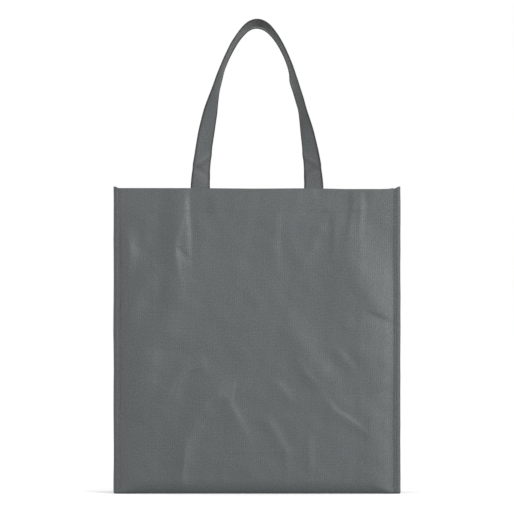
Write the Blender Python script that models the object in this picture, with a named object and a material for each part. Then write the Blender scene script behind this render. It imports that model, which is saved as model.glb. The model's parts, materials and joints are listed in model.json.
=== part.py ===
"""A gusseted cloth shopping tote, open and standing on its folded base.

The front is at -Y and the mouth at the top. The origin is on the floor, under the middle of the base.
One cloth makes the front, the base and the back. Two side gussets join it at four taped seams. Each panel
has a turned-in hem with a strap loop, whose ends are sewn flat on the inside of the hem. The gussets and
the base crease along their middles, so that the bag folds flat.
"""
import math

import bmesh
import bpy
from mathutils import Vector

# Driving dimensions, in metres.
WIDTH = 0.381            # across the front, over both binding tapes
HEIGHT = 0.406           # floor to mouth
DEPTH = 0.1016           # front to back, over the panels
CLOTH = 0.0006           # one layer of cloth
HEM_HEIGHT = 0.0315      # depth of the turned-in hem
HEM_ROW = 0.0299         # mouth to the hem's row of stitches
TAPE_WIDTH = 0.0085      # what shows of a binding tape on each side of its seam
TAPE_THICK = 0.0005
TAPE_STAND = 0.002       # how far the tapes stand above the mouth
TAPE_FOOT = 0.0015       # how far the tapes stop above the floor
STRAP_WIDTH = 0.025
STRAP_THICK = 0.0014
STRAP_SPACING = 0.1514   # between the middles of a loop's two legs, at the mouth
LOOP_RISE = 0.220        # mouth to the middle of the strap at the top of the loop
LOOP_POWER = 1.4         # how square the loop's shoulders are; 2 would be an ellipse
LOOP_LEAN = math.radians(2.5)
LOOP_TWIST = math.radians(78)
SEWN_LENGTH = 0.028      # strap end that is sewn to the hem
ROW_INSET = 0.002        # from a tape's or a strap's edge to its row of stitches
THREAD = 0.0005          # thickness of the sewing thread
FOLD_LIMIT = math.radians(80)

# Clearances, in metres.
GAP = 0.0003             # between pieces that touch
CREASE_GAP = 0.0003      # from a cloth edge to the crease it ends at
SEAM_GAP = 0.0025        # from a gusset's edge to the seam that it hinges at
HINGE_INSET = 0.0011     # from the hem's inner face to the seam hinges
FACE_INSET = 0.0001      # from a gusset's hinges to its outer face
TAPE_CLEAR = 0.0005      # from a tape's inner edge to the gusset
ROW_CLEAR = 0.006        # from a crease to the end of a gusset's row of stitches
LOOP_START = 0.0005      # from the loop's hinge up to its lower ends
LOOP_STEPS = 56

# Places that follow from them. Front faces are at -Y, and the back mirrors the front.
SIDE = WIDTH / 2
PANEL_OUT = DEPTH / 2
PANEL_IN = PANEL_OUT - CLOTH
HEM_IN = PANEL_OUT - 2 * CLOTH
SEAM = HEM_IN - HINGE_INSET
GUSSET = SIDE - TAPE_WIDTH - TAPE_CLEAR
PANEL_SIDE = SIDE - TAPE_THICK - GAP
HEM_LOW = HEIGHT - HEM_HEIGHT
STRAP_OUT = HEM_IN - GAP
STRAP_MIDDLE = STRAP_OUT - STRAP_THICK / 2
LOOP_HINGE_Y = PANEL_OUT - CLOTH
LOOP_HINGE_Z = HEIGHT - GAP
BASE_TRIM = (FACE_INSET + CLOTH) * math.tan(FOLD_LIMIT) + 3 * GAP
CORNER_LOW = GAP
GUSSET_LOW = CORNER_LOW + CLOTH + GAP

CLOTH_GREY = (0.14, 0.15, 0.155)
TAPE_GREY = (0.12, 0.13, 0.135)
STRAP_GREY = (0.15, 0.16, 0.163)
THREAD_GREY = (0.20, 0.21, 0.215)


def clear_scene():
    """Remove every object, so that a second run starts from nothing."""
    for obj in list(bpy.data.objects):
        bpy.data.objects.remove(obj, do_unlink=True)


def cloth_material(name, colour, roughness):
    """A plain matt cloth colour."""
    material = bpy.data.materials.new(name)
    material.use_nodes = True
    shader = material.node_tree.nodes["Principled BSDF"]
    shader.inputs["Base Color"].default_value = (*colour, 1)
    shader.inputs["Roughness"].default_value = roughness
    shader.inputs["Metallic"].default_value = 0
    return material


def hinge(name, place, parent=None):
    """An empty on a joint's axis, which carries the pieces that turn about it."""
    empty = bpy.data.objects.new(name, None)
    bpy.context.scene.collection.objects.link(empty)
    empty["place"] = place
    start = parent["place"] if parent else (0, 0, 0)
    empty.location = Vector(place) - Vector(start)
    empty.parent = parent
    return empty


def put(obj, body, material):
    """Link a finished piece, whose points are in the bag's own frame, under its body's empty."""
    bpy.context.scene.collection.objects.link(obj)
    obj.data.materials.append(material)
    place = Vector(body["place"])
    if obj.type == "MESH":
        for vertex in obj.data.vertices:
            vertex.co -= place
    else:
        for point in obj.data.splines[0].points:
            point.co = (*(Vector(point.co[:3]) - place), 1)
    obj.parent = body
    return obj


def solid(name, points, faces, body, material):
    """A closed solid from its points and faces, with the faces turned outwards."""
    shape = bmesh.new()
    corners = [shape.verts.new(point) for point in points]
    for face in faces:
        shape.faces.new([corners[index] for index in face])
    bmesh.ops.recalc_face_normals(shape, faces=shape.faces)
    mesh = bpy.data.meshes.new(name)
    shape.to_mesh(mesh)
    shape.free()
    return put(bpy.data.objects.new(name, mesh), body, material)


def prism(name, outline, axis, low, high, body, material):
    """An outline in two axes, carried straight along the third from low to high."""
    count = len(outline)
    points = []
    for level in (low, high):
        for first, second in outline:
            point = [first, second]
            point.insert("XYZ".index(axis), level)
            points.append(point)
    faces = [list(range(count)), list(range(count, 2 * count))]
    for index in range(count):
        after = (index + 1) % count
        faces.append([index, after, after + count, index + count])
    return solid(name, points, faces, body, material)


def thread(name, points, closed, body):
    """A round thread along a line of straight runs; closed joins its ends."""
    curve = bpy.data.curves.new(name, "CURVE")
    curve.dimensions = "3D"
    curve.bevel_depth = THREAD / 2
    curve.bevel_resolution = 1
    curve.use_fill_caps = not closed
    spline = curve.splines.new("POLY")
    spline.points.add(len(points) - 1)
    for point, place in zip(spline.points, points):
        point.co = (*place, 1)
    spline.use_cyclic_u = closed
    return put(bpy.data.objects.new(name, curve), body, THREAD_CLOTH)


def hemmed_outline(face, inward, low):
    """One layer of cloth seen edge on, from its low edge up to a doubled hem along the mouth."""
    single = face + inward * CLOTH
    double = face + inward * 2 * CLOTH
    return [(face, low), (single, low), (single, HEM_LOW), (double, HEM_LOW), (double, HEIGHT), (face, HEIGHT)]


def panel(name, side, body):
    """A front or back panel with its hem."""
    outline = hemmed_outline(side * PANEL_OUT, -side, 0)
    return prism(name, outline, "X", -PANEL_SIDE, PANEL_SIDE, body, PANEL_CLOTH)


def gusset_half(name, left, side, body):
    """Half of a side gusset, from its crease to its seam, with its hem."""
    outline = hemmed_outline(left * (GUSSET - FACE_INSET), -left, GUSSET_LOW)
    near, far = sorted((side * CREASE_GAP, side * (SEAM - SEAM_GAP)))
    return prism(name, outline, "Y", near, far, body, GUSSET_CLOTH)


def base_end(reach):
    """How far out the base's end lies, at a distance from the seam; it slopes, to clear the folded gusset."""
    return GUSSET - BASE_TRIM - reach


def base_half(name, side, body):
    """Half of the base, from its middle crease to a panel, with sloping ends that clear the gussets."""
    near = SEAM - CREASE_GAP
    wide = base_end(CREASE_GAP)
    narrow = base_end(SEAM - CREASE_GAP)
    outline = [(-wide, side * near), (wide, side * near), (narrow, side * CREASE_GAP), (-narrow, side * CREASE_GAP)]
    return prism(name, outline, "Z", 0, CLOTH, body, PANEL_CLOTH)


def base_corner(name, left, body):
    """The loose triangle of cloth between the base's sloping ends and a gusset."""
    reach = SEAM - SEAM_GAP
    outer = GUSSET - FACE_INSET
    end = base_end(SEAM_GAP) + GAP * 2
    tip = base_end(SEAM) + GAP * 2
    outline = [(left * outer, -reach), (left * end, -reach), (left * tip, 0), (left * end, reach), (left * outer, reach)]
    return prism(name, outline, "Z", CORNER_LOW, CORNER_LOW + CLOTH, body, GUSSET_CLOTH)


def tape(name, left, side, body):
    """A binding tape folded around the panel's raw edge, with a leg on each face."""
    outer_leg = PANEL_OUT + GAP
    inner_leg = HEM_IN - GAP
    edge = SIDE
    inside = edge - TAPE_THICK
    end = edge - TAPE_WIDTH
    shape = [
        (end, outer_leg + TAPE_THICK), (edge, outer_leg + TAPE_THICK),
        (edge, inner_leg - TAPE_THICK), (end, inner_leg - TAPE_THICK),
        (end, inner_leg), (inside, inner_leg), (inside, outer_leg), (end, outer_leg),
    ]
    outline = [(left * x, side * y) for x, y in shape]
    return prism(name, outline, "Z", TAPE_FOOT, HEIGHT + TAPE_STAND, body, TAPE_CLOTH)


def loop_point(turn):
    """The middle of the strap at a turn of 0 (left leg) to pi (right leg), as distance across and height.

    Across is spacing/2 times the cosine, and height is the rise times a power of the sine, so that
    (across)**2 + (height)**power = 1 in those units.
    """
    across = -STRAP_SPACING / 2 * math.cos(turn)
    height = LOOP_RISE * math.sin(turn) ** (2 / LOOP_POWER)
    return across, height


def strap_loop(name, side, body):
    """A strap from the mouth up and over and back, which twists from face on to nearly edge on at its top."""
    base = LOOP_HINGE_Z + LOOP_START
    start = (LOOP_START / LOOP_RISE) ** (LOOP_POWER / 2)
    turns = [start + (math.pi - 2 * start) * step / LOOP_STEPS for step in range(LOOP_STEPS + 1)]
    middles = [loop_point(turn) for turn in turns]
    points = []
    for index, (across, height) in enumerate(middles):
        before = middles[max(index - 1, 0)]
        after = middles[min(index + 1, LOOP_STEPS)]
        along = Vector((after[0] - before[0], 0, after[1] - before[1])).normalized()
        if index in (0, LOOP_STEPS):
            along = Vector((0, 0, 1 if index == 0 else -1))
        flat = Vector((along.z, 0, -along.x))
        twist = LOOP_TWIST * math.sin(math.pi / 2 * height / LOOP_RISE)
        wide = flat * math.cos(twist) - Vector((0, side, 0)) * math.sin(twist)
        thick = along.cross(wide)
        depth = side * (STRAP_MIDDLE + height * math.tan(LOOP_LEAN))
        middle = Vector((across, depth, base + height))
        for a, b in ((-1, -1), (1, -1), (1, 1), (-1, 1)):
            points.append(middle + wide * (a * STRAP_WIDTH / 2) + thick * (b * STRAP_THICK / 2))
    faces = [[0, 1, 2, 3], [4 * LOOP_STEPS + corner for corner in range(4)]]
    for index in range(LOOP_STEPS):
        for corner in range(4):
            after = (corner + 1) % 4
            low = 4 * index
            faces.append([low + corner, low + after, low + 4 + after, low + 4 + corner])
    loop = solid(name, points, faces, body, STRAP_CLOTH)
    loop.data.shade_smooth()
    loop.data.set_sharp_from_angle(angle=math.radians(30))
    return loop


def strap_end(name, left, side, body):
    """The flat end of a strap, sewn to the inside of the hem."""
    middle = left * STRAP_SPACING / 2
    top = LOOP_HINGE_Z - GAP
    outline = [
        (middle - STRAP_WIDTH / 2, side * STRAP_OUT),
        (middle + STRAP_WIDTH / 2, side * STRAP_OUT),
        (middle + STRAP_WIDTH / 2, side * (STRAP_OUT - STRAP_THICK)),
        (middle - STRAP_WIDTH / 2, side * (STRAP_OUT - STRAP_THICK)),
    ]
    return prism(name, outline, "Z", top - SEWN_LENGTH, top, body, STRAP_CLOTH)


def panel_rows(word, side, body):
    """The rows of stitches that show on a panel: its hem, its two tapes and the boxes at its strap ends."""
    on_panel = side * (PANEL_OUT + GAP + THREAD / 2)
    on_tape = side * (PANEL_OUT + 2 * GAP + TAPE_THICK + THREAD / 2)
    level = HEIGHT - HEM_ROW
    reach = SIDE - TAPE_WIDTH - GAP
    thread(f"{word}_hem_thread", [(-reach, on_panel, level), (reach, on_panel, level)], False, body)
    for left, hand in HANDS:
        across = left * (SIDE - TAPE_WIDTH + ROW_INSET)
        foot = TAPE_FOOT + THREAD
        top = HEIGHT + TAPE_STAND - THREAD
        thread(f"{word}_{hand}_tape_thread", [(across, on_tape, foot), (across, on_tape, top)], False, body)
        middle = left * STRAP_SPACING / 2
        half = STRAP_WIDTH / 2 - ROW_INSET
        high = LOOP_HINGE_Z - GAP - ROW_INSET
        low = high - SEWN_LENGTH + 2 * ROW_INSET
        box = [
            (middle - half, on_panel, low), (middle + half, on_panel, low),
            (middle + half, on_panel, high), (middle - half, on_panel, high),
        ]
        thread(f"{word}_{hand}_strap_thread", box, True, body)


def gusset_row(name, left, side, body):
    """The row of stitches along the hem of half a gusset, clear of its crease and its seam."""
    across = left * (GUSSET - FACE_INSET + GAP + THREAD / 2)
    level = HEIGHT - HEM_ROW
    ends = (side * ROW_CLEAR, side * (SEAM - SEAM_GAP - 4 * THREAD))
    thread(name, [(across, ends[0], level), (across, ends[1], level)], False, body)


def build():
    """Every piece, body by body."""
    root = hinge("front_body", (0, 0, 0))
    left_front = hinge("left_front_seam", (-GUSSET, -SEAM, 0), root)
    left_back = hinge("left_crease", (-GUSSET, 0, 0), left_front)
    back = hinge("left_back_seam", (-GUSSET, SEAM, 0), left_back)
    right_front = hinge("right_front_seam", (GUSSET, -SEAM, 0), root)
    right_back = hinge("right_crease", (GUSSET, 0, 0), right_front)
    base_front = hinge("base_front_fold", (0, -SEAM, 0), root)
    base_back = hinge("base_crease", (0, 0, 0), base_front)
    front_loop = hinge("front_mouth_edge", (0, -LOOP_HINGE_Y, LOOP_HINGE_Z), root)
    back_loop = hinge("back_mouth_edge", (0, LOOP_HINGE_Y, LOOP_HINGE_Z), back)

    for word, side, body, loop_body in (("front", -1, root, front_loop), ("back", 1, back, back_loop)):
        panel(f"{word}_panel", side, body)
        panel_rows(word, side, body)
        strap_loop(f"{word}_handle", side, loop_body)
        for left, hand in HANDS:
            tape(f"{word}_{hand}_tape", left, side, body)
            strap_end(f"{word}_{hand}_strap_end", left, side, body)

    gussets = (
        ("left_gusset_front", -1, -1, left_front), ("left_gusset_back", -1, 1, left_back),
        ("right_gusset_front", 1, -1, right_front), ("right_gusset_back", 1, 1, right_back),
    )
    for name, left, side, body in gussets:
        gusset_half(name, left, side, body)
        gusset_row(f"{name}_thread", left, side, body)

    base_half("base_front", -1, base_front)
    base_half("base_back", 1, base_back)
    for left, hand in HANDS:
        base_corner(f"base_{hand}_corner", left, root)


HANDS = ((-1, "left"), (1, "right"))
clear_scene()
PANEL_CLOTH = cloth_material("panel cloth", CLOTH_GREY, 0.9)
GUSSET_CLOTH = cloth_material("gusset cloth", CLOTH_GREY, 0.9)
TAPE_CLOTH = cloth_material("tape cloth", TAPE_GREY, 0.85)
STRAP_CLOTH = cloth_material("strap cloth", STRAP_GREY, 0.85)
THREAD_CLOTH = cloth_material("thread", THREAD_GREY, 0.7)
build()
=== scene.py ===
"""A grey non-woven shopping tote: its cloth, binding tapes, straps and stitches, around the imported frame."""
import json
import math

import bpy
import numpy as np
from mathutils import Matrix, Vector


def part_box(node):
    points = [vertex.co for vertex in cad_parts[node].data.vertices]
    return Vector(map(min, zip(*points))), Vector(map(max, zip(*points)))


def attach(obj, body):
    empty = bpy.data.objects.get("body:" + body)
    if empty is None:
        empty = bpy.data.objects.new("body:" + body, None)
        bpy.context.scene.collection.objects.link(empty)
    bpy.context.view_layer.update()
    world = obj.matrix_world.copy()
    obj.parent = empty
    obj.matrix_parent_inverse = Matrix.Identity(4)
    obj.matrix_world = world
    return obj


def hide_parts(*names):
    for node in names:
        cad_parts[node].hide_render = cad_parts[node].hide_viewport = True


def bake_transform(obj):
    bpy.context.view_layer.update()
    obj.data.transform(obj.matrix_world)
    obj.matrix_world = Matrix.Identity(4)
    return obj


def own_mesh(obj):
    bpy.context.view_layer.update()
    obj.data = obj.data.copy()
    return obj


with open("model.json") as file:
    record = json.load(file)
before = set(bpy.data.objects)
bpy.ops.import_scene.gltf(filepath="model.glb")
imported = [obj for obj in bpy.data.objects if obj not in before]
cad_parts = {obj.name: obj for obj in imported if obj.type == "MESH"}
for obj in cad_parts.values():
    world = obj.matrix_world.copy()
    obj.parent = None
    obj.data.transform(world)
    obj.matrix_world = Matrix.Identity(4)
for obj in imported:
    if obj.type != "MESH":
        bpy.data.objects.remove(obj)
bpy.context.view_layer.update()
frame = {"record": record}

MM = 0.001


def corners_of(node):
    """A node's lowest and highest corners, as arrays."""
    low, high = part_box(node)
    return np.array(low, float), np.array(high, float)


# Sizes, in metres, all worked out from the frame.
PANEL_LOW, PANEL_HIGH = corners_of("front_panel")
TAPE_LOW, TAPE_HIGH = corners_of("front_right_tape")
GUSSET_LOW, GUSSET_HIGH = corners_of("right_gusset_front")
END_LOW, END_HIGH = corners_of("front_right_strap_end")
LOOP_TOP = corners_of("front_handle")[1][2]
ROW_LOW, ROW_HIGH = corners_of("front_hem_thread")
BASE_SIDE = corners_of("base_front")[1][0]
CORNER_LOW, CORNER_HIGH = corners_of("base_right_corner")
JOINTS = {joint["name"]: joint for joint in frame["record"]["behaviour"]["joints"]}

OUT = -PANEL_LOW[1]                         # panels' outer faces, from the middle
HEM_IN = -PANEL_HIGH[1]                     # hems' inner faces
SIDE = PANEL_HIGH[0]                        # panels' raw side edges
MOUTH = PANEL_HIGH[2]                       # height of the bag's edge
TAPE_SIDE = TAPE_HIGH[0]                    # a tape's folded side
TAPE_EDGE = TAPE_LOW[0]                     # a tape's inner edge
TAPE_OUT = -TAPE_LOW[1]                     # a tape's outer face
TAPE_IN = -TAPE_HIGH[1]                     # a tape's inner face
GUSSET = GUSSET_HIGH[0]                     # gussets' outer faces
SEAM = -JOINTS["left_front_seam_fold"]["pos_m"][1]    # seams between panels and gussets
HEM_ROW = (ROW_LOW[2] + ROW_HIGH[2]) / 2    # height of the hem's stitches
STRAP_X = (END_LOW[0] + END_HIGH[0]) / 2    # middle of a strap's leg
STRAP_WIDTH = END_HIGH[0] - END_LOW[0]
STRAP_THICK = END_HIGH[1] - END_LOW[1]
STRAP_Y = -(END_LOW[1] + END_HIGH[1]) / 2   # middle of a strap's sewn end
STRAP_STEP = 0.85 * MM                      # between a strap's rows of points
STRAP_FOOT = END_LOW[2]                     # bottom of a strap's sewn end
CLOTH = 0.5 * MM                            # thickness of the bag's cloth
TAPE_CLOTH = 0.45 * MM                      # thickness of the binding tape
HEM_EDGE = HEM_ROW - 1.6 * MM               # raw edge of the turned-in hem
HEM_TURN = (OUT - HEM_IN) / 2               # radius of the cloth's turn over the mouth
TAPE_ROW = TAPE_EDGE + 2 * MM               # where a tape's row of stitches runs
STITCH_PITCH = 3.4 * MM                     # from one stitch to the next
STITCH_LONG = 2.7 * MM                      # length of a stitch
THREAD = 0.26 * MM                          # radius of a stitch


def smooth_step(value, low, high):
    """0 below low, 1 above high, and 3t2 - 2t3 of the way between them."""
    t = np.clip((value - low) / (high - low), 0, 1)
    return t * t * (3 - 2 * t)


def bump_at(value, middle, width):
    """A rounded hump: e to the minus squared distance from its middle, in widths."""
    return np.exp(-((value - middle) / width) ** 2)


# ---------------------------------------------------------------- meshes

def grid_faces(rows, columns, round_columns=False):
    """Quads between neighbouring points of a grid; the last column meets the first on a round one."""
    index = np.arange(rows * columns).reshape(rows, columns)
    if round_columns:
        index = np.hstack([index, index[:, :1]])
    quads = np.stack([index[:-1, :-1], index[:-1, 1:], index[1:, 1:], index[1:, :-1]], axis=-1)
    return quads.reshape(-1, 4)


def store_mesh(name, points, faces, cloth_uv, wear_and_painted_light, material):
    """A smooth piece from its points and faces. Its UV map holds places on the flat cloth, in metres, and its
    per-point marks say how far each point takes the marked tone, which is real wear on folds and edges,
    painted highlights along the front panel's creases and painted shade along the straps' edges: 0 is not at
    all, and 1 or more is fully."""
    mesh = bpy.data.meshes.new(name)
    mesh.from_pydata(points.tolist(), [], faces)
    mesh.polygons.foreach_set("use_smooth", np.ones(len(faces), bool))
    layer = mesh.uv_layers.new(name="cloth")
    loops = np.empty(len(mesh.loops), np.int32)
    mesh.loops.foreach_get("vertex_index", loops)
    layer.data.foreach_set("uv", cloth_uv[loops].astype(np.float32).ravel())
    wear_and_painted_light_marks = mesh.attributes.new("wear_and_painted_light", "FLOAT", "POINT")
    wear_and_painted_light_marks.data.foreach_set("value", wear_and_painted_light.astype(np.float32).ravel())
    mesh.materials.append(material)
    mesh.update()
    piece = bpy.data.objects.new(name, mesh)
    bpy.context.scene.collection.objects.link(piece)
    return piece


def cloth_shell(name, grid, thickness, cloth_uv, wear_and_painted_light, material, flip=False):
    """A cloth of real thickness: the grid is its good side, the back is the grid moved inwards along its own
    normals, and a narrow strip all round closes the edge."""
    rows, columns = grid.shape[:2]
    normal = np.cross(np.gradient(grid, axis=1), np.gradient(grid, axis=0))
    normal /= np.linalg.norm(normal, axis=-1, keepdims=True)
    if flip:
        normal = -normal
    points = np.concatenate([grid.reshape(-1, 3), (grid - normal * thickness).reshape(-1, 3)])
    face = grid_faces(rows, columns)
    index = np.arange(rows * columns).reshape(rows, columns)
    rim = np.concatenate([index[0, :-1], index[:-1, -1], index[-1, :0:-1], index[:0:-1, 0]])
    after = np.roll(rim, -1)
    edge = np.stack([rim, rim + rows * columns, after + rows * columns, after], 1)
    back = face[:, ::-1] + rows * columns
    faces = np.concatenate([face, back, edge])
    if flip:
        faces = faces[:, ::-1]
    twice = np.concatenate([cloth_uv.reshape(-1, 2)] * 2)
    wear_and_painted_light_marks = np.concatenate([np.broadcast_to(wear_and_painted_light, (rows, columns)).ravel()] * 2)
    return store_mesh(name, points, faces.tolist(), twice, wear_and_painted_light_marks, material)


def along_line(points):
    """Distance along a line of points, from its start."""
    steps = np.linalg.norm(np.diff(points, axis=0), axis=1)
    return np.concatenate([[0], np.cumsum(steps)])


# ---------------------------------------------------------------- creases

def smooth_line(points, count=60):
    """A curve through a few points: each stretch is a Catmull-Rom cubic, with the end points repeated."""
    p = np.array(points, float) * MM
    p = np.vstack([2 * p[0] - p[1], p, 2 * p[-1] - p[-2]])
    place = np.linspace(0, len(p) - 3 - 1e-6, count)
    k = place.astype(int)
    t = (place - k)[:, None]
    a, b, c, d = p[k], p[k + 1], p[k + 2], p[k + 3]
    return 0.5 * (2 * b + (c - a) * t + (2 * a - 5 * b + 4 * c - d) * t**2 + (3 * b - a - 3 * c + d) * t**3)


def crease(across, up, points, height, left, right):
    """A crease's height over the cloth: a hump that falls away from a curve as e to the minus squared
    distance, with one width to its left and one to its right, and that fades out towards both its ends."""
    line = smooth_line(points)
    flat = np.stack([across.ravel(), up.ravel()], axis=1)
    offset = flat[:, None, :] - line[None]
    near = (offset**2).sum(2).argmin(1)
    tangent = np.gradient(line, axis=0)
    tangent /= np.linalg.norm(tangent, axis=1, keepdims=True)
    away = offset[np.arange(len(flat)), near]
    turn = tangent[near]
    side = away[:, 0] * turn[:, 1] - away[:, 1] * turn[:, 0]
    beyond = np.abs((away * turn).sum(1))
    width = np.where(side > 0, right, left) * MM
    share = near / (len(line) - 1)
    fade = np.sin(np.pi * np.clip(share, 0.0, 1.0)) ** 0.7
    hump = np.exp(-(side / width) ** 2 - (beyond / (6 * MM)) ** 2)
    return (height * MM * fade * hump).reshape(across.shape)


def soft_waves(across, up, seed, height, shortest, longest, count=14):
    """Slow undulation: a sum of cosines with seeded directions and lengths between the two given."""
    random = np.random.default_rng(seed)
    total = np.zeros_like(across)
    for _ in range(count):
        length = random.uniform(shortest, longest)
        angle = random.uniform(0, math.pi)
        phase = random.uniform(0, 2 * math.pi)
        run = across * math.cos(angle) + up * math.sin(angle)
        total += np.cos(2 * math.pi * run / length + phase) * length / longest
    return height * total / math.sqrt(count)


# Creases of a panel, as (points across and up in mm seen from outside, height in mm, widths to the left
# and right of the line as it is walked, in mm). A negative height is a valley.
FRONT_CREASES = (
    (((-103, 406), (-106, 376), (-108, 330), (-112, 280), (-117, 190)), 3.3, 24, 15),
    (((-89, 408), (-90, 380), (-88, 348), (-86, 296)), -1.1, 9, 2.4),
    (((-96, 372), (-107, 328), (-98, 262)), 0.6, 3, 9),
    (((-109, 330), (-97, 318), (-86, 307)), -0.7, 3, 6),
    (((-184, 222), (-160, 262), (-126, 302)), 3.6, 17, 16),
    (((-184, 352), (-172, 322), (-180, 286)), 2.9, 12, 13),
    (((-152, 380), (-147, 356), (-152, 326)), 0.7, 10, 10),
    (((-166, 96), (-146, 180), (-124, 246)), 3.0, 26, 22),
    (((-125, 118), (-113, 146), (-92, 166), (-66, 170)), 1.7, 16, 7),
    (((-112, 118), (-103, 142), (-90, 158)), 0.5, 8, 3),
    (((-104, 0), (-96, 60), (-79, 100), (-52, 130), (-30, 128)), 3.0, 18, 10),
    (((-42, 131), (-28, 104), (-4, 58)), 0.8, 5, 13),
    (((-99, 4), (-98, 40), (-93, 74)), 0.6, 4, 4),
    (((-46, 2), (-45, 16), (-47, 36)), 0.4, 4, 4),
    (((127, 406), (126, 380), (120, 336)), 0.8, 7, 3),
    (((137, 406), (138, 376), (133, 336)), 1.0, 4, 9),
    (((101, 376), (102, 342), (99, 306)), 0.7, 8, 3),
    (((58, 296), (72, 326), (86, 360)), 0.8, 10, 7),
    (((26, 380), (25, 340), (27, 288)), 0.6, 5, 14),
    (((44, 352), (50, 326), (44, 296)), 0.6, 12, 10),
    (((116, 372), (128, 312), (150, 262), (180, 228)), 2.2, 34, 18),
    (((110, 384), (114, 300), (136, 210), (166, 136)), 2.8, 40, 36),
    (((142, 243), (163, 234), (186, 224)), -0.8, 2.6, 8),
    (((26, 256), (56, 200), (84, 158), (118, 110)), 1.5, 17, 22),
    (((52, 180), (66, 160), (84, 140)), 0.6, 3.4, 9),
    (((86, 136), (104, 111), (126, 96), (152, 76)), 0.8, 3, 8),
    (((98, 200), (114, 182), (134, 156)), 0.5, 4, 8),
    (((14, 154), (32, 142), (50, 114)), 0.6, 5, 10),
    (((6, 106), (24, 80), (44, 44)), 0.7, 6, 10),
    (((38, 68), (39, 40), (38, 6)), 0.4, 5, 5),
    (((68, 86), (70, 46), (70, 8)), 0.4, 5, 5),
    (((136, 132), (150, 96), (160, 38)), 0.8, 14, 12),
    (((-70, 56), (0, 55.5), (60, 56)), 0.25, 2, 2),
    (((74, 406), (98, 394), (128, 388)), -0.6, 8, 10),
    (((-22, 302), (0, 250), (-6, 186)), 0.6, 24, 24),
)
# Painted highlights: pale lines painted along the front panel's creases where its gloss catches the light, as
# places in mm, and how pale.
FRONT_PAINTED_HIGHLIGHTS = (
    (((-118, 123), (-109, 146), (-96, 161), (-76, 172)), 0.95),
    (((-105, 134), (-100, 152), (-93, 161)), 0.9),
    (((97, 128), (110, 112), (128, 99), (145, 84)), 0.8),
    (((112, 190), (120, 181), (128, 172)), 0.6),
    (((-90, 402), (-90, 386), (-91, 372)), 0.7),
    (((-107, 320), (-106, 308), (-100, 296)), 0.8),
    (((-52, 131), (-44, 133), (-36, 128)), 0.6),
)
BACK_CREASES = (
    (((100, 406), (103, 378), (104, 330), (108, 250)), 1.6, 13, 20),
    (((88, 406), (90, 378), (86, 340), (88, 296)), -1.0, 2.6, 9),
    (((-84, 406), (-82, 372), (-90, 330), (-86, 280)), -1.2, 10, 3),
    (((-182, 240), (-140, 286), (-106, 336)), 1.7, 17, 13),
    (((176, 196), (132, 252), (100, 306)), 1.6, 14, 17),
    (((-148, 46), (-96, 110), (-54, 188)), 1.4, 12, 18),
    (((24, 30), (66, 96), (128, 136)), 1.1, 7, 14),
    (((-36, 234), (14, 206), (68, 196)), 0.8, 12, 5),
    (((-156, 174), (-120, 150), (-90, 110)), 0.8, 5, 11),
    (((102, 46), (140, 100), (174, 170)), 1.3, 16, 8),
    (((-24, 126), (-6, 96), (8, 50)), 0.7, 7, 4),
    (((-108, 362), (-60, 340), (-12, 346)), 0.7, 9, 12),
    (((120, 402), (126, 370), (116, 326)), 0.8, 5, 5),
)
GUSSET_CREASES = (
    (((-44, 110), (-18, 180), (-2, 256)), 1.4, 9, 6),
    (((46, 310), (22, 250), (3, 184)), 1.4, 6, 9),
    (((-46, 336), (-24, 300), (-3, 288)), 1.0, 4, 8),
    (((40, 150), (24, 120), (4, 96)), 0.9, 6, 4),
    (((-48, 52), (-24, 24), (0, 2)), 0.7, 2.4, 2.4),
    (((48, 52), (24, 24), (0, 2)), 0.7, 2.4, 2.4),
)


def panel_relief(across, up, creases, seed):
    """How far a panel's face stands out: a slow billow, rolled sides, the gussets' creases pressed through as
    thin ridges, its own creases and slow waves, all added up. The sum dies away at the tapes, and is held to
    half a millimetre where the strap ends are sewn on."""
    share = up / MOUTH
    billow = 2.6 * MM * (1 - (across / SIDE) ** 2) * np.sin(np.pi * np.clip(share, 0, 1)) ** 0.8
    roll = 1.6 * MM * (1 - np.exp(-np.clip(TAPE_EDGE - np.abs(across), 0, None) / (14 * MM)))
    total = billow + roll * (0.25 + 0.75 * smooth_step(share, 0.6, 0.2))
    pressed = TAPE_EDGE - 45 * MM
    for place in (-pressed, pressed):
        total += 0.2 * MM * np.exp(-np.abs(across - place) / (2.4 * MM))
    for points, height, left, right in creases:
        total += crease(across, up, points, height, left, right)
    total += soft_waves(across, up, seed, 0.8 * MM, 60 * MM, 260 * MM)
    total += soft_waves(across, up, seed + 1, 0.22 * MM, 18 * MM, 50 * MM)
    total = total * smooth_step(TAPE_EDGE + 3 * MM - np.abs(across), 0, 16 * MM)
    from_strap = np.abs(np.abs(across) - STRAP_X)
    beside = smooth_step(from_strap, STRAP_WIDTH / 2 + 9 * MM, STRAP_WIDTH / 2 - 5 * MM)
    sewn = beside * smooth_step(up, STRAP_FOOT - 12 * MM, STRAP_FOOT - 3 * MM)
    return total * (1 - sewn) + np.clip(total, 0, 0.5 * MM) * sewn


def hem_relief(up):
    """A doubled hem stands out a little above its raw edge, and its stitches pull it in."""
    step = 0.15 * MM * smooth_step(up, HEM_EDGE - 1.6 * MM, HEM_EDGE + 1.2 * MM)
    return step - 0.12 * MM * bump_at(up, HEM_ROW, 0.9 * MM)


def stitch_pull(along, row_distance, depth):
    """Dimples of a row of stitches: deepest between stitches on the row, and gone 1 mm to its side."""
    beat = 0.55 + 0.45 * np.cos(2 * np.pi * along / STITCH_PITCH)
    return -depth * beat * np.exp(-(row_distance / (0.9 * MM)) ** 2)


def face_levels(low):
    """Heights of a hemmed cloth's rows of points from its top down, closer together along the hem."""
    plain = np.linspace(low, HEM_EDGE - 3 * MM, 168)[:-1]
    hem = np.linspace(HEM_EDGE - 3 * MM, HEM_ROW + 3 * MM, 20)[:-1]
    top = np.linspace(HEM_ROW + 3 * MM, MOUTH - HEM_TURN, 16)
    return np.concatenate([plain, hem, top])[::-1]


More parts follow.
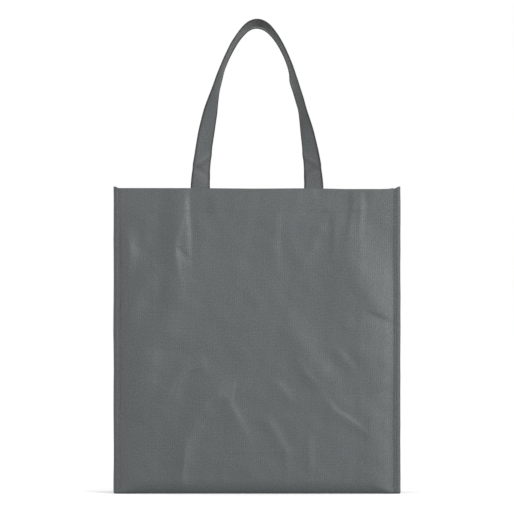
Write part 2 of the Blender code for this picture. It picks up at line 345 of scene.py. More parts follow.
def mouth_dip(across):
    """How far the mouth's edge hangs below its level: a little between the straps, more to their right."""
    return 0.7 * MM * bump_at(across, 0, 60 * MM) + 1.6 * MM * bump_at(across, 140 * MM, 50 * MM)


def inner_span(across):
    """1 in the middle of a panel and 0 at its tapes, for the foot's rounding."""
    return smooth_step(TAPE_EDGE - np.abs(across), 0, 34 * MM)


def foot_reach(across):
    """How far a panel's foot turns in under the bag."""
    return (2.8 + 2.6 * inner_span(across)) * MM


def foot_rise(across):
    """How high above the floor a panel's foot starts to turn in."""
    return (2.8 + 17.2 * inner_span(across)) * MM


def strip_places(points, across):
    """Places on the flat cloth of a strip's points: across it, and along it down its middle column."""
    middle = points[:, points.shape[1] // 2]
    return np.stack(np.broadcast_arrays(across[None], along_line(middle)[:, None]), -1)


def panel_cloth(name, facing, creases, painted_highlights, seed, material):
    """A panel as one strip of cloth, followed from the hem's raw edge inside, up and over the mouth, down the
    face and round the foot: lengthwise it is two straights joined by a half turn, then a quarter of an
    ellipse, larger in the middle than at the tapes. facing is -1 for the front and 1 for the back."""
    across = np.linspace(-SIDE, SIDE, 176)
    hem_up = np.linspace(HEM_EDGE, MOUTH - HEM_TURN, 12)[:-1, None]
    turn = np.linspace(0, np.pi, 7)[:-1, None]
    foot_turn = np.linspace(0, np.pi / 2, 11)[1:, None]
    levels = face_levels(0)[:, None]
    share = (levels[0] - levels) / levels[0]
    face_z = levels[0] - share * (levels[0] - foot_rise(across))
    face_x = np.broadcast_to(across, face_z.shape)
    relief = panel_relief(face_x, face_z, creases, seed) + hem_relief(face_z)
    behind = panel_relief(*np.broadcast_arrays(across[None], hem_up), creases, seed)
    top, low = relief[0], relief[-1]

    def layer(y, z):
        return np.stack(np.broadcast_arrays(across[None], y, z), -1)

    points = np.concatenate([
        layer(HEM_IN + behind, hem_up),
        layer(OUT - HEM_TURN - HEM_TURN * np.cos(turn) + top, MOUTH - HEM_TURN + HEM_TURN * np.sin(turn)),
        layer(OUT + relief, face_z),
        layer(
            OUT + low * np.cos(foot_turn) - foot_reach(across) * (1 - np.cos(foot_turn)),
            0.2 * MM + (foot_rise(across) - 0.2 * MM) * (1 - np.sin(foot_turn)),
        ),
    ])
    points[..., 2] -= mouth_dip(points[..., 0]) * np.clip(points[..., 2] / MOUTH, 0, 1) ** 10
    # Real wear on the fold over the mouth and at the foot, plus painted highlights: pale lines along the
    # listed creases of the front panel.
    wear_and_painted_light = 0.7 * bump_at(points[..., 2], MOUTH, 1.2 * MM) + 0.5 * bump_at(points[..., 2], 3 * MM, 4 * MM)
    for line, pale in painted_highlights:
        wear_and_painted_light = wear_and_painted_light + crease(points[..., 0], points[..., 2], line, pale, 2.4, 2.4) / MM
    wear_and_painted_light = np.clip(wear_and_painted_light, 0, 1)
    cloth_uv = strip_places(points, across)
    points[..., 1] *= facing
    points[..., 0] *= -facing
    return cloth_shell(name, points, CLOTH, cloth_uv, wear_and_painted_light, material, flip=True)


def gusset_relief(across, up, seed):
    """How far a gusset stands out: it leans in towards its middle crease as a rounded tent, deeper at the
    mouth, with a few creases of its own."""
    tent = 1 - np.sqrt((across / SEAM) ** 2 + 0.0006)
    lean = (1.4 + 2.4 * np.clip(up / MOUTH, 0, 1) ** 1.5) * MM * np.clip(tent, 0, None)
    ridges = soft_waves(across, up, seed, 0.3 * MM, 40 * MM, 160 * MM)
    for points, height, left, right in GUSSET_CREASES:
        ridges = ridges + crease(across, up, points, height, left, right)
    return ridges * smooth_step(SEAM - np.abs(across), 0, 8 * MM) - lean + hem_relief(up)


def gusset_cloth(name, left, seed, material):
    """A whole side gusset as one strip: from its hem's raw edge inside, over the mouth in a half turn, and
    down its face. The half turn is tighter at the seams. left is -1 for the left gusset, 1 for the right."""
    across = np.linspace(-SEAM + 0.1 * MM, SEAM - 0.1 * MM, 64)
    hem_up = np.linspace(HEM_EDGE, MOUTH - HEM_TURN, 10)[:-1, None]
    turn = np.linspace(0, np.pi, 7)[:-1, None]
    bend = HEM_TURN - (HEM_TURN - 0.55 * MM) * smooth_step(np.abs(across), SEAM - 6 * MM, SEAM)
    face_z = face_levels(GUSSET_LOW[2])[:, None] + 0 * across
    relief = gusset_relief(np.broadcast_to(across, face_z.shape), face_z, seed)
    top = relief[:1]

    def layer(x, z):
        return np.stack(np.broadcast_arrays(x, across[None], z), -1)

    points = np.concatenate([
        layer(GUSSET - 2 * bend + top + 0 * hem_up, hem_up),
        layer(GUSSET - bend - bend * np.cos(turn) + top, MOUTH - HEM_TURN + HEM_TURN * np.sin(turn)),
        layer(GUSSET + relief, face_z),
    ])
    wear_and_painted_light = bump_at(points[..., 2], MOUTH, 2.5 * MM) + 0.6 * np.exp(-np.abs(points[..., 1]) / (1.5 * MM))
    cloth_uv = strip_places(points, across)
    points[..., 0] *= left
    return cloth_shell(name, points, CLOTH, cloth_uv, np.clip(wear_and_painted_light, 0, 1), material, flip=left > 0)


def base_cloth(name, material):
    """The base between the panels' feet: rows across the bag whose half width grows evenly from the middle
    crease to the feet, so its ends slope. It rises a little from its edges, and has a ridge at the crease."""
    share = np.linspace(-1, 1, 60)[:, None]
    spread = np.linspace(-1, 1, 150)[None]
    wide = np.interp(np.abs(share), [0, 1], [BASE_SIDE - SEAM - 0.8 * MM, BASE_SIDE - 1.4 * MM])
    across = spread * wide
    reach = OUT - foot_reach(across) - 0.1 * MM
    depth = share * reach
    waves = soft_waves(across, depth, 41, 0.25 * MM, 30 * MM, 120 * MM)
    edge = smooth_step(reach - np.abs(depth), 0, 8 * MM)
    height = 0.75 * MM + (0.75 * MM + np.abs(waves)) * edge + 0.5 * MM * np.exp(-np.abs(depth) / (2 * MM))
    points = np.stack([across, depth, height], -1)
    wear_and_painted_light = 0.7 * np.exp(-np.abs(depth) / (1.5 * MM))
    return cloth_shell(name, points, CLOTH, points[..., :2].copy(), wear_and_painted_light, material)


def corner_cloth(name, left, material):
    """The loose triangle at one end of the base: rows that run from its slanting edges out to the gusset."""
    depth = np.linspace(CORNER_LOW[1], CORNER_HIGH[1], 40)[:, None]
    tip = CORNER_LOW[0] + (CORNER_HIGH[0] - CORNER_LOW[0]) * np.clip(np.abs(depth) / CORNER_HIGH[1], 0, 0.98)
    across = tip + (CORNER_HIGH[0] - tip) * np.linspace(0, 1, 24)[None]
    depth = np.broadcast_to(depth, across.shape)
    height = 0.85 * MM + 0.2 * MM * np.cos(across * 160) * np.cos(depth * 130)
    points = np.stack([across * left, depth, height], -1)
    return cloth_shell(name, points, CLOTH, points[..., :2].copy(), 0.2 + 0 * across, material, flip=left < 0)


def tape_line(count):
    """The outside of a folded tape seen from above: its inner leg, a half turn round the raw edges, and its
    outer leg, as places across and outwards."""
    half = (TAPE_OUT - TAPE_IN) / 2
    legs = np.linspace(TAPE_EDGE, TAPE_SIDE - half, count)
    turn = np.linspace(-np.pi / 2, np.pi / 2, 11)[1:-1]
    x = np.concatenate([legs, TAPE_SIDE - half + half * np.cos(turn), legs[::-1]])
    y = np.concatenate([
        np.full(count, TAPE_IN), TAPE_IN + half + half * np.sin(turn), np.full(count, TAPE_OUT),
    ])
    return x, y


def tape_relief(across, up, seed):
    """How far a tape's leg stands off: stitch dimples, a rolled inner edge, a swell between the row and the
    fold, and small puckers."""
    pull = stitch_pull(up, across - TAPE_ROW, 0.3 * MM)
    edge = 0.05 * MM * bump_at(across, TAPE_EDGE, 0.8 * MM) * (1 + np.sin(up / (4.3 * MM)))
    swell = 0.45 * MM * bump_at(across, (TAPE_ROW + TAPE_SIDE) / 2, 2.2 * MM)
    return pull + edge + swell + soft_waves(up, across, seed, 0.1 * MM, 6 * MM, 16 * MM, 8)


def binding_tape(name, left, facing, seed, material):
    """A tape carried up its seam. Its legs close towards the fold with the square of the distance from its
    inner edge, the fold wanders a little, and the top is cut on a slant, lower at the inner edge."""
    x, y = tape_line(12)
    up = np.linspace(TAPE_LOW[2], TAPE_HIGH[2], 460)[:, None]
    across, out, up = (np.array(value) for value in np.broadcast_arrays(x[None], y[None], up))
    leg = 2 * smooth_step(out, TAPE_IN + 0.6 * MM, TAPE_OUT - 0.6 * MM) - 1
    out += tape_relief(across, up, seed) * leg
    folded = np.clip((across - TAPE_EDGE) / (TAPE_SIDE - TAPE_EDGE), 0, 1) ** 2
    out += ((TAPE_IN + TAPE_OUT) / 2 - out) * 0.45 * folded
    wander = soft_waves(up, 0 * up, seed + 3, 0.25 * MM, 24 * MM, 120 * MM, 8)
    across += wander * smooth_step(across, TAPE_EDGE, TAPE_SIDE)
    slant = 3 * MM * smooth_step(TAPE_SIDE - across, 2 * MM, TAPE_SIDE - TAPE_EDGE)
    up -= slant * smooth_step(up, TAPE_HIGH[2] - 20 * MM, TAPE_HIGH[2])
    points = np.stack([across * left, out * facing, up], -1)
    width = along_line(np.stack([x, y], 1))
    cloth_uv = np.stack(np.broadcast_arrays(width[None], points[:, :1, 2]), -1)
    wear_and_painted_light = bump_at(across, TAPE_SIDE, 1.2 * MM) + 0.5 * bump_at(across, TAPE_EDGE, 0.7 * MM)
    wear_and_painted_light = np.clip(wear_and_painted_light, 0, 1)
    return cloth_shell(name, points, TAPE_CLOTH, cloth_uv, wear_and_painted_light, material, flip=left * facing < 0)


# ---------------------------------------------------------------- straps

LOOP_RISE = LOOP_TOP - MOUTH - 5 * MM       # mouth to the strap's middle at the top of the loop
LOOP_LEAN = math.radians(2.5)
# How far a leg of a loop has turned on itself, in degrees, at each share of the loop's rise.
LEFT_LEG_TURNS = ((0, 0), (0.04, 10), (0.10, 19), (0.22, 26), (0.34, 32), (0.46, 44), (0.52, 55), (0.59, 66),
                  (0.70, 73), (0.85, 78), (0.94, 79), (0.985, 73), (1, 71))
RIGHT_LEG_TURNS = ((0, 0), (0.04, 10), (0.10, 20), (0.22, 33), (0.34, 46), (0.46, 65), (0.59, 70), (0.70, 75),
                   (0.85, 79), (0.94, 79), (0.985, 73), (1, 71))
BACK_LEG_TURNS = ((0, 0), (0.06, 10), (0.22, 34), (0.46, 66), (0.59, 76), (0.70, 80), (1, 80))
STRAP_ROW = STRAP_WIDTH / 2 - 2 * MM        # from a strap's middle to its rows of stitches


def strap_line(facing, rise, sway, left_turns, right_turns):
    """A strap's middle line and its width and thickness directions, from one sewn end to the other.

    Sewn ends run straight up the hem. Between them (across / half spacing) squared and (height / rise) to the
    power 1.4 add up to 1. The loop leans outwards, and turns on itself through each leg's stages, evened out
    over 20 mm. sway moves a leg sideways, from the height's share and the leg, -1 or 1."""
    foot = np.linspace(STRAP_FOOT, MOUTH, 40)[:-1]
    turn = np.linspace(0, np.pi, 700)
    turn = turn - 0.21 * np.sin(2 * turn)   # closer together near the feet
    x = np.concatenate([np.full(len(foot), -STRAP_X), -STRAP_X * np.cos(turn), np.full(len(foot), STRAP_X)])
    z = np.concatenate([foot, MOUTH + rise * np.sin(turn) ** (2 / 1.4), foot[::-1]])
    share = np.clip(z - MOUTH, 0, None) / rise
    x = x + sway(share, np.sign(x))
    y = (STRAP_Y + share * rise * math.tan(LOOP_LEAN)) * facing
    line = np.stack([x, y, z], -1)
    distance = along_line(line)
    even = np.arange(0, distance[-1], STRAP_STEP)
    line = np.stack([np.interp(even, distance, value) for value in line.T], -1)
    share = np.clip(line[:, 2] - MOUTH, 0, None) / rise
    along = np.gradient(line, axis=0) * np.array([1, 0, 1])
    along /= np.linalg.norm(along, axis=1, keepdims=True)
    flat = np.stack([along[:, 2], 0 * even, -along[:, 0]], -1)
    turns = [np.interp(share, *np.array(stages).T) for stages in (left_turns, right_turns)]
    twist = np.radians(np.where(line[:, 0] < 0, *turns))
    even_out = np.hanning(25) / np.hanning(25).sum()
    twist = np.convolve(np.pad(twist, 12, mode="edge"), even_out, mode="valid")
    wide = flat * np.cos(twist)[:, None] - np.array([0, facing, 0]) * np.sin(twist)[:, None]
    return line, wide, np.cross(along, wide), even


def strap_outline(count):
    """A strap's section: a flat band with half-round edges, as places across and out."""
    half, radius = STRAP_WIDTH / 2, STRAP_THICK / 2
    flat = np.linspace(-half + radius, half - radius, count)
    turn = np.linspace(-np.pi / 2, np.pi / 2, 7)[1:-1]
    round_a, round_b = half - radius + radius * np.cos(turn), radius * np.sin(turn)
    a = np.concatenate([flat, round_a, flat[::-1], -round_a])
    b = np.concatenate([np.full(count, -radius), round_b, np.full(count, radius), -round_b])
    return a, b


def strap_waves(across, length, seed, total):
    """How far a strap's whole band leaves its line: slow waves, a light cup across it, and a ridge and a
    valley that slant across it near its feet, all of them fading out on the sewn ends."""
    free = smooth_step(np.minimum(length, total - length), 30 * MM, 50 * MM)
    wave = soft_waves(across, length, seed, 0.4 * MM, 14 * MM, 60 * MM)
    cup = 0.5 * MM * (across / (STRAP_WIDTH / 2)) ** 2
    near = np.minimum(length, total - length)
    ridge = 1.3 * MM * bump_at(near + 0.6 * across, 50 * MM, 6 * MM)
    valley = 1.1 * MM * bump_at(near - 0.8 * across, 64 * MM, 5 * MM)
    return (wave + cup + ridge - valley) * free


def strap(name, line, seed, material):
    """A strap carried along its line: a flat band with sewn rows that pull dimples into both its faces."""
    middle, wide, thick, even = line
    a, b = strap_outline(26)
    count = len(a)
    length, across, out = np.broadcast_arrays(even[:, None], a[None], b[None])
    face = np.sign(out) * smooth_step(np.abs(out), 0.2 * STRAP_THICK, 0.5 * STRAP_THICK)
    pull = stitch_pull(length, np.abs(across) - STRAP_ROW, 0.18 * MM) + 0.14 * MM * bump_at(across, 0, 7 * MM)
    height = out + pull * face + strap_waves(across, length, seed, even[-1])
    points = middle[:, None] + wide[:, None] * across[..., None] + thick[:, None] * height[..., None]
    around = along_line(np.stack([a, b], 1))
    cloth_uv = np.stack(np.broadcast_arrays(around[None], even[:, None]), -1).reshape(-1, 2)
    faces = grid_faces(len(even), count, round_columns=True)[:, ::-1].tolist()
    faces.append(np.arange(count).tolist())
    faces.append((len(even) * count - 1 - np.arange(count)).tolist())
    # Painted shade: the strap's edges are painted dark, standing in for the shade on its thin edges.
    wear_and_painted_light = 2.6 * bump_at(np.abs(across), STRAP_WIDTH / 2, 1.9 * MM)
    return store_mesh(name, points.reshape(-1, 3), faces, cloth_uv, wear_and_painted_light, material)


# ---------------------------------------------------------------- stitches

def stitch_shape():
    """One stitch: six-sided rings along a low arch, fat in the middle and pointed where it dives in."""
    share = np.array([-1.0, -0.8, -0.35, 0.35, 0.8, 1.0])
    radius = THREAD * np.array([0.25, 0.8, 1.0, 1.0, 0.8, 0.25])
    height = THREAD * np.array([-0.9, -0.1, 0.45, 0.45, -0.1, -0.9])
    turn = np.linspace(0, 2 * np.pi, 6, endpoint=False)
    long = np.broadcast_to(share[:, None] * STITCH_LONG / 2, (6, 6))
    side = radius[:, None] * np.cos(turn)[None]
    up = height[:, None] + radius[:, None] * np.sin(turn)[None]
    return np.stack([long, side, up], -1).reshape(-1, 3), grid_faces(6, 6, round_columns=True)


def row_of(line, outwards, seed):
    """Stitches' middles and directions at even distances along a line, each a little off its aim."""
    distance = along_line(line)
    count = int(distance[-1] / STITCH_PITCH)
    at = (np.arange(count) + 0.5) * distance[-1] / count
    outwards = np.broadcast_to(outwards, line.shape)
    way = np.gradient(line, axis=0)
    middle, way, out = (
        np.stack([np.interp(at, distance, value) for value in values.T], -1)
        for values in (line, way, outwards)
    )
    way /= np.linalg.norm(way, axis=1, keepdims=True)
    side = np.cross(out, way)
    random = np.random.default_rng(seed)
    way = way + side * random.normal(0, 0.05, (count, 1))
    return middle + side * random.normal(0, 0.06 * MM, (count, 1)), way, out


def stitches(name, rows, material):
    """Rows of stitches as one piece: each one is the same small shape, turned to its row's directions."""
    middle, along, out = (np.concatenate(values) for values in zip(*rows))
    along = along / np.linalg.norm(along, axis=1, keepdims=True)
    side = np.cross(out, along)
    side /= np.linalg.norm(side, axis=1, keepdims=True)
    out = np.cross(along, side)
    shape, faces = stitch_shape()
    points = sum(way[:, None] * shape[None, :, k:k + 1] for k, way in enumerate((along, side, out)))
    points = points + middle[:, None]
    first = len(shape) * np.arange(len(middle))[:, None]
    walls = (faces[None] + first[..., None]).reshape(-1, 4).tolist()
    ends = (first + np.arange(6)[::-1]).tolist() + (first + len(shape) - 6 + np.arange(6)).tolist()
    flat = np.tile(shape[:, :2], (len(middle), 1))
    return store_mesh(name, points.reshape(-1, 3), walls + ends, flat, np.full(len(flat), 0.3), material)


# ---------------------------------------------------------------- finishes

def node_tool(material):
    """A short way to add a node: its kind, its settings by name, and its inputs by name, each a value or a
    socket to link."""
    tree = material.node_tree

    def add(kind, inputs=(), **settings):
        made = tree.nodes.new("ShaderNode" + kind)
        for key, value in settings.items():
            setattr(made, key, value)
        for key, value in dict(inputs).items():
            if isinstance(value, bpy.types.NodeSocket):
                tree.links.new(value, made.inputs[key])
            else:
                made.inputs[key].default_value = value
        return made

    return add


def spun_cloth(name, colour, pitch, emboss, fibre, rough, gloss_level, wear_and_painted_light_tone, seed):
    """Spun-bonded cloth: a lattice of small pressed dots in upright columns, fibres lying in all directions
    between them and a mottle from uneven fibre. pitch is the dots' spacing, emboss and fibre are how far the
    dots and the fibres stand up, and where the per-point marks say so the colour moves to the cloth's colour
    times the tone given for them: paler for real wear on folds and for painted highlights along the front
    panel's creases, darker for painted shade along the straps' edges."""
    material = bpy.data.materials.new(name)
    material.use_nodes = True
    add = node_tool(material)
    link = material.node_tree.links.new
    shader = material.node_tree.nodes["Principled BSDF"]
    place = add("UVMap", uv_map="cloth").outputs["UV"]
    lattice = add("Mapping", {
        "Vector": place, "Scale": (1 / pitch, 1.5 / pitch, 1), "Location": (seed * 0.13, seed * 0.07, 0),
        "Rotation": (0, 0, math.radians(-1)),
    }).outputs["Vector"]
    dots = add("TexVoronoi", {"Vector": lattice, "Scale": 1, "Randomness": 0.34}, voronoi_dimensions="2D")
    pressed = add("MapRange", {
        "Value": dots.outputs["Distance"], "From Min": 0.14, "From Max": 0.42,
    }, interpolation_type="SMOOTHSTEP").outputs["Result"]
    shifted = add("Mapping", {
        "Vector": place, "Location": (seed * 0.31, seed * 0.17, seed * 0.05),
    }).outputs["Vector"]
    fine = add("TexNoise", {
        "Vector": shifted, "Scale": 1500, "Detail": 5, "Roughness": 0.65, "Distortion": 1.2,
    }).outputs["Fac"]

    def strands_at(scale, angle):
        """Noise drawn out along one direction of the cloth."""
        run = add("Mapping", {"Vector": shifted, "Scale": scale, "Rotation": (0, 0, angle)}).outputs["Vector"]
        return add("TexNoise", {"Vector": run, "Scale": 1, "Detail": 3, "Distortion": 0.6}).outputs["Fac"]

    strands = strands_at((260, 2600, 1), 0.5)
    crossing = strands_at((2600, 260, 1), 0.35)
    fibres = add("Math", {0: strands, 1: crossing}, operation="MAXIMUM").outputs[0]
    grain = add("Math", {0: fibres, 1: fine}, operation="ADD").outputs[0]
    mottle = add("TexNoise", {"Vector": shifted, "Scale": 520, "Detail": 4, "Roughness": 0.75}).outputs["Fac"]
    broad = add("TexNoise", {"Vector": shifted, "Scale": 16, "Detail": 3}).outputs["Fac"]

    def multiplied(a, b):
        """One colour times another."""
        made = add("Mix", data_type="RGBA", blend_type="MULTIPLY")
        made.inputs["Factor"].default_value = 1
        for socket, value in ((made.inputs[6], a), (made.inputs[7], b)):
            if isinstance(value, bpy.types.NodeSocket):
                link(value, socket)
            else:
                socket.default_value = value
        return made.outputs[2]

    def grey_ramp(factor, low, high, dark, light):
        """A grey that goes from dark to light as the factor goes from low to high."""
        share = add("MapRange", {
            "Value": factor, "From Min": low, "From Max": high, "To Min": dark, "To Max": light,
        }).outputs[0]
        return add("CombineColor", {0: share, 1: share, 2: share}).outputs[0]

    tone = multiplied((*colour, 1), grey_ramp(mottle, 0.3, 0.7, 0.60, 1.40))
    tone = multiplied(tone, grey_ramp(broad, 0.3, 0.7, 0.98, 1.02))
    tone = multiplied(tone, grey_ramp(grain, 0.8, 1.25, 0.78, 1.22))
    tone = multiplied(tone, grey_ramp(pressed, 0, 1, 0.84, 1.07))
    # Real wear and painted light share these marks: paler for wear on folds and for painted highlights on the
    # front panel's creases, darker for painted shade on the straps' edges.
    wear_and_painted_light_marks = add("Attribute", attribute_name="wear_and_painted_light").outputs["Fac"]
    patchy = add("MapRange", {"Value": mottle, "From Min": 0.35, "From Max": 0.65}).outputs[0]
    wear_and_painted_light_share = add("Math", {0: wear_and_painted_light_marks, 1: patchy}, operation="MULTIPLY").outputs[0]
    worn_and_painted_colour = add("Mix", data_type="RGBA")
    link(wear_and_painted_light_share, worn_and_painted_colour.inputs["Factor"])
    link(tone, worn_and_painted_colour.inputs[6])
    worn_and_painted_colour.inputs[7].default_value = (*(value * wear_and_painted_light_tone for value in colour), 1)
    link(worn_and_painted_colour.outputs[2], shader.inputs["Base Color"])
    gloss = add("MapRange", {
        "Value": grain, "From Min": 0.8, "From Max": 1.25, "To Min": rough + 0.08, "To Max": rough - 0.08,
    })
    smoother = add("Math", {0: wear_and_painted_light_share, 1: -0.12, 2: gloss.outputs[0]}, operation="MULTIPLY_ADD").outputs[0]
    link(smoother, shader.inputs["Roughness"])
    fuzz = add("Math", {0: grain, 1: fibre}, operation="MULTIPLY").outputs[0]
    raised = add("Math", {0: pressed, 1: emboss, 2: fuzz}, operation="MULTIPLY_ADD").outputs[0]
    bump = add("Bump", {"Height": raised, "Strength": 0.8, "Distance": 1.0})
    link(bump.outputs["Normal"], shader.inputs["Normal"])
    shader.inputs["Specular IOR Level"].default_value = gloss_level
    shader.inputs["Sheen Weight"].default_value = 0.05
    shader.inputs["Sheen Roughness"].default_value = 0.5
    return material


def sewing_thread(name, colour):
    """Spun thread: two plies that twist round each other as slanting bands, with a slight gloss."""
    material = bpy.data.materials.new(name)
    material.use_nodes = True
    add = node_tool(material)
    link = material.node_tree.links.new
    shader = material.node_tree.nodes["Principled BSDF"]
    place = add("UVMap", uv_map="cloth").outputs["UV"]
    slant = add("Mapping", {"Vector": place, "Rotation": (0, 0, 0.6)}).outputs["Vector"]
    ply = add("TexWave", {"Vector": slant, "Scale": 420, "Distortion": 1.5, "Detail": 2}).outputs["Fac"]
    share = add("MapRange", {"Value": ply, "To Min": 0.75, "To Max": 1.12}).outputs[0]
    tone = add("Mix", data_type="RGBA", blend_type="MULTIPLY")
    tone.inputs["Factor"].default_value = 1
    tone.inputs[6].default_value = (*colour, 1)
    link(add("CombineColor", {0: share, 1: share, 2: share}).outputs[0], tone.inputs[7])
    link(tone.outputs[2], shader.inputs["Base Color"])
    link(add("MapRange", {"Value": ply, "To Min": 0.7, "To Max": 0.5}).outputs[0], shader.inputs["Roughness"])
    bump = add("Bump", {"Height": ply, "Strength": 0.6, "Distance": 0.00008})
    link(bump.outputs["Normal"], shader.inputs["Normal"])
    return material


# The panels' marked tone is pale: real wear on the mouth's fold and the foot, and painted highlights along the
# front panel's creases.
PANEL_FINISH = spun_cloth(
    "panel_cloth_finish", (0.0537, 0.0606, 0.0625), pitch=2.85 * MM, emboss=0.10 * MM, fibre=0.07 * MM,
    rough=0.52, gloss_level=0.5, wear_and_painted_light_tone=1.25, seed=1,
)
GUSSET_FINISH = spun_cloth(
    "gusset_cloth_finish", (0.0535, 0.0603, 0.0621), pitch=2.85 * MM, emboss=0.10 * MM, fibre=0.07 * MM,
    rough=0.54, gloss_level=0.5, wear_and_painted_light_tone=1.25, seed=2,
)
TAPE_FINISH = spun_cloth(
    "tape_finish", (0.0535, 0.0599, 0.0615), pitch=2.2 * MM, emboss=0.06 * MM, fibre=0.06 * MM,
    rough=0.55, gloss_level=0.4, wear_and_painted_light_tone=1.2, seed=3,
)
# The straps' marked tone is dark: painted shade along the straps' edges.
STRAP_FINISH = spun_cloth(
    "strap_finish", (0.0800, 0.0860, 0.0876), pitch=2.4 * MM, emboss=0.07 * MM, fibre=0.07 * MM,
    rough=0.62, gloss_level=0.25, wear_and_painted_light_tone=0.28, seed=4,
)
THREAD_FINISH = sewing_thread("thread_finish", (0.115, 0.12, 0.122))
SEAM_THREAD_FINISH = sewing_thread("strap_thread_finish", (0.045, 0.048, 0.049))


# ---------------------------------------------------------------- the bag


def dressed(piece, slot, *nodes):
    """Hide the CAD nodes that a piece stands for, and hand back the piece. The slot argument is not used."""
    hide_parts(*nodes)
    return piece


def front_sway(share, leg):
    """The front loop's right leg leans in a little, low down."""
    return -1.2 * MM * bump_at(share, 0.55, 0.25) * (leg > 0)


def back_sway(share, leg):
    """The back loop spreads a little wider than the front one, but for its right leg, which leans in half way
    up and shows beside the front one."""
    spread = leg * 2.4 * MM * np.sin(np.pi * np.clip(share, 0, 1) ** 0.8)
    lean = 4.2 * MM * bump_at(share, 0.60, 0.13) + 1.4 * MM * bump_at(share, 0.66, 0.04)
    return spread - lean * (leg > 0)


SIDES = (
    ("front", -1, FRONT_CREASES, FRONT_PAINTED_HIGHLIGHTS, 11, (LOOP_RISE, front_sway, LEFT_LEG_TURNS, RIGHT_LEG_TURNS)),
    ("back", 1, BACK_CREASES, (), 23, (LOOP_RISE + 0.4 * MM, back_sway, BACK_LEG_TURNS, BACK_LEG_TURNS)),
)

for side, facing, creases, painted_highlights, seed, loop_shape in SIDES:
    panel = panel_cloth(f"{side}_cloth", facing, creases, painted_highlights, seed, PANEL_FINISH)
    dressed(panel, "cloth", f"{side}_panel")
    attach(panel, side)

    span = np.linspace(-ROW_HIGH[0], ROW_HIGH[0], 500)
    level = np.full_like(span, HEM_ROW)
    relief = panel_relief(span, level, creases, seed) + hem_relief(level)
    outer = np.stack([-facing * span, facing * (OUT + relief), level], -1)
    behind = HEM_IN + panel_relief(span, level, creases, seed)
    inner = np.stack([-facing * span, facing * behind, level], -1)[20:-20]
    rows = [
        row_of(outer, np.array([0, facing, 0.0]), seed),
        row_of(inner, np.array([0, -facing, 0.0]), seed + 1),
    ]
    piece = stitches(f"{side}_hem_stitches", rows, THREAD_FINISH)
    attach(dressed(piece, "thread", f"{side}_hem_thread"), side)

    for hand, left in (("left", -1), ("right", 1)):
        tape_seed = seed + 5 + left
        tape = binding_tape(f"{side}_{hand}_binding", left, facing, tape_seed, TAPE_FINISH)
        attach(dressed(tape, "tape", f"{side}_{hand}_tape"), side)
        up = np.linspace(TAPE_LOW[2] + 2 * MM, TAPE_HIGH[2] - 3 * MM, 900)
        off = tape_relief(np.full_like(up, TAPE_ROW), up, tape_seed)
        rows = [
            row_of(np.stack([left * TAPE_ROW + 0 * up, facing * (TAPE_OUT + off), up], -1),
                   np.array([0, facing, 0.0]), tape_seed + 20),
            row_of(np.stack([left * TAPE_ROW + 0 * up, facing * (TAPE_IN - off), up], -1),
                   np.array([0, -facing, 0.0]), tape_seed + 30),
        ]
        piece = stitches(f"{side}_{hand}_tape_stitches", rows, THREAD_FINISH)
        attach(dressed(piece, "thread", f"{side}_{hand}_tape_thread"), side)

        wide, low, high = STRAP_ROW, STRAP_FOOT + 2 * MM, MOUTH - 2.6 * MM
        corners = np.array([(-wide, low), (wide, low), (wide, high), (-wide, high), (-wide, low)])
        place = np.linspace(0, 4, 800)
        box_x = left * STRAP_X + np.interp(place, np.arange(5), corners[:, 0])
        box_z = np.interp(place, np.arange(5), corners[:, 1])
        box_relief = panel_relief(-facing * box_x, box_z, creases, seed)
        on_face = np.stack([box_x, facing * (OUT + box_relief + hem_relief(box_z)), box_z], -1)
        on_strap = np.stack([box_x, 0 * box_z + facing * (STRAP_Y - STRAP_THICK / 2), box_z], -1)
        rows = [
            row_of(on_face, np.array([0, facing, 0.0]), tape_seed + 40),
            row_of(on_strap, np.array([0, -facing, 0.0]), tape_seed + 50),
        ]
        piece = stitches(f"{side}_{hand}_box_stitches", rows, THREAD_FINISH)
        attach(dressed(piece, "thread", f"{side}_{hand}_strap_thread"), side)

    line = strap_line(facing, *loop_shape)
    middle, wide, thick, even = line
    loop = strap(f"{side}_strap", line, seed + 7, STRAP_FINISH)
    dressed(loop, "strap", f"{side}_handle", f"{side}_left_strap_end", f"{side}_right_strap_end")
    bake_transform(loop)
    rows = []
    free = slice(40, -40)                   # the rows stop short of the sewn ends
    for edge in (-1, 1):
        lift = strap_waves(np.full_like(even, edge * STRAP_ROW), even, seed + 7, even[-1])
        for face in (-1, 1):
            height = lift + face * (STRAP_THICK / 2 - 0.08 * MM)
            row = middle + wide * edge * STRAP_ROW + thick * height[:, None]
            rows.append(row_of(row[free], (thick * face)[free], seed + 60 + 2 * edge + face))
    seams = stitches(f"{side}_strap_stitches", rows, SEAM_THREAD_FINISH)
    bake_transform(seams)

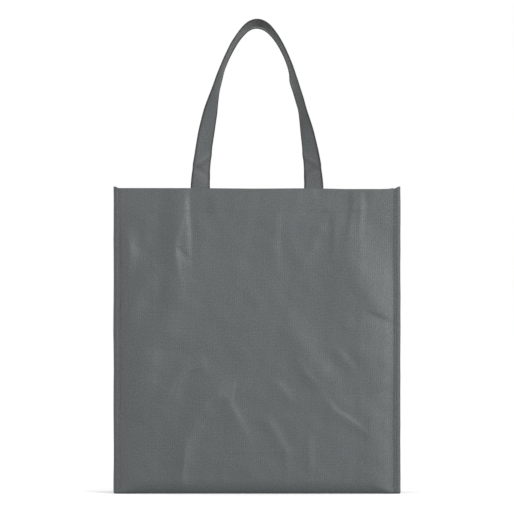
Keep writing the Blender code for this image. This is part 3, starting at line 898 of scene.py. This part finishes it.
for hand, left, seed in (("left", -1, 31), ("right", 1, 37)):
    front_half, back_half = f"{hand}_gusset_front", f"{hand}_gusset_back"
    gusset = gusset_cloth(f"{hand}_gusset_cloth", left, seed, GUSSET_FINISH)
    dressed(gusset, "cloth", front_half, back_half)
    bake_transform(gusset)
    for half, way in ((front_half, -1), (back_half, 1)):
        span = np.linspace(6 * MM, SEAM - 4.5 * MM, 120) * way
        level = np.full_like(span, HEM_ROW)
        relief = gusset_relief(span, level, seed)
        inside = GUSSET - 2 * HEM_TURN + gusset_relief(span, np.full_like(span, MOUTH - HEM_TURN), seed)
        outer = np.stack([left * (GUSSET + relief), span, level], -1)
        inner = np.stack([left * inside, span, level], -1)
        rows = [
            row_of(outer, np.array([left, 0, 0.0]), seed + 2 + way),
            row_of(inner[:-25], np.array([-left, 0, 0.0]), seed + 4 + way),
        ]
        piece = stitches(f"{half}_stitches", rows, THREAD_FINISH)
        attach(dressed(piece, "thread", f"{half}_thread"), half)
    corner = corner_cloth(f"{hand}_base_corner_cloth", left, GUSSET_FINISH)
    dressed(corner, "cloth", f"base_{hand}_corner")
    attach(corner, "front")
    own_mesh(corner)

base = base_cloth("base_sheet", GUSSET_FINISH)
dressed(base, "cloth", "base_front", "base_back")
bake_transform(base)


# ---------------------------------------------------------------- floor, light and camera

scene = bpy.context.scene
scene.view_settings.view_transform = "Standard"

world = bpy.data.worlds.new("studio")
scene.world = world
world.use_nodes = True
background = world.node_tree.nodes["Background"]
background.inputs["Color"].default_value = (1, 1, 1, 1)
# The studio is white all round and above, and dims below the floor's level.
direction = world.node_tree.nodes.new("ShaderNodeTexCoord")
split = world.node_tree.nodes.new("ShaderNodeSeparateXYZ")
dim = world.node_tree.nodes.new("ShaderNodeMapRange")
for key, value in (("From Min", -0.25), ("From Max", -0.03), ("To Min", 0.06), ("To Max", 1.0)):
    dim.inputs[key].default_value = value
world.node_tree.links.new(direction.outputs["Generated"], split.inputs["Vector"])
world.node_tree.links.new(split.outputs["Z"], dim.inputs["Value"])
world.node_tree.links.new(dim.outputs["Result"], background.inputs["Strength"])

floor_mesh = bpy.data.meshes.new("floor")
floor_mesh.from_pydata([(-12, -8, 0), (12, -8, 0), (12, 14, 0), (-12, 14, 0)], [], [(0, 1, 2, 3)])
floor = bpy.data.objects.new("floor", floor_mesh)
scene.collection.objects.link(floor)
floor_finish = bpy.data.materials.new("floor_finish")
floor_finish.use_nodes = True
floor_shader = floor_finish.node_tree.nodes["Principled BSDF"]
floor_shader.inputs["Base Color"].default_value = (0.93, 0.93, 0.93, 1)
floor_shader.inputs["Roughness"].default_value = 0.9
floor_shader.inputs["Emission Color"].default_value = (1, 1, 1, 1)
floor_shader.inputs["Emission Strength"].default_value = 0.12
floor_mesh.materials.append(floor_finish)
floor.visible_diffuse = False


def soft_light(name, place, target, size, power):
    """A square studio light that faces a point of the bag."""
    data = bpy.data.lights.new(name, "AREA")
    data.size = size
    data.energy = power
    lamp = bpy.data.objects.new(name, data)
    scene.collection.objects.link(lamp)
    lamp.location = place
    lamp.rotation_euler = (Vector(target) - Vector(place)).to_track_quat("-Z", "Y").to_euler()


soft_light("key", (1.75, -2.8, 0.95), (0, 0, 0.25), 0.7, 86)
soft_light("fill", (-3.4, -0.5, 0.8), (0, 0, 0.42), 1.2, 46)

CAMERA_AWAY = 7.0                           # camera to the front panel
VIEW_WIDTH = 0.6823                         # what the camera takes in across the front panel
camera_data = bpy.data.cameras.new("camera")
camera_data.sensor_width = 36
camera_data.lens = CAMERA_AWAY * 36 / VIEW_WIDTH
camera = bpy.data.objects.new("camera", camera_data)
camera.location = (0, -OUT - CAMERA_AWAY, 0.3144)
camera.rotation_euler = (math.radians(90), 0, 0)
scene.collection.objects.link(camera)
scene.camera = camera
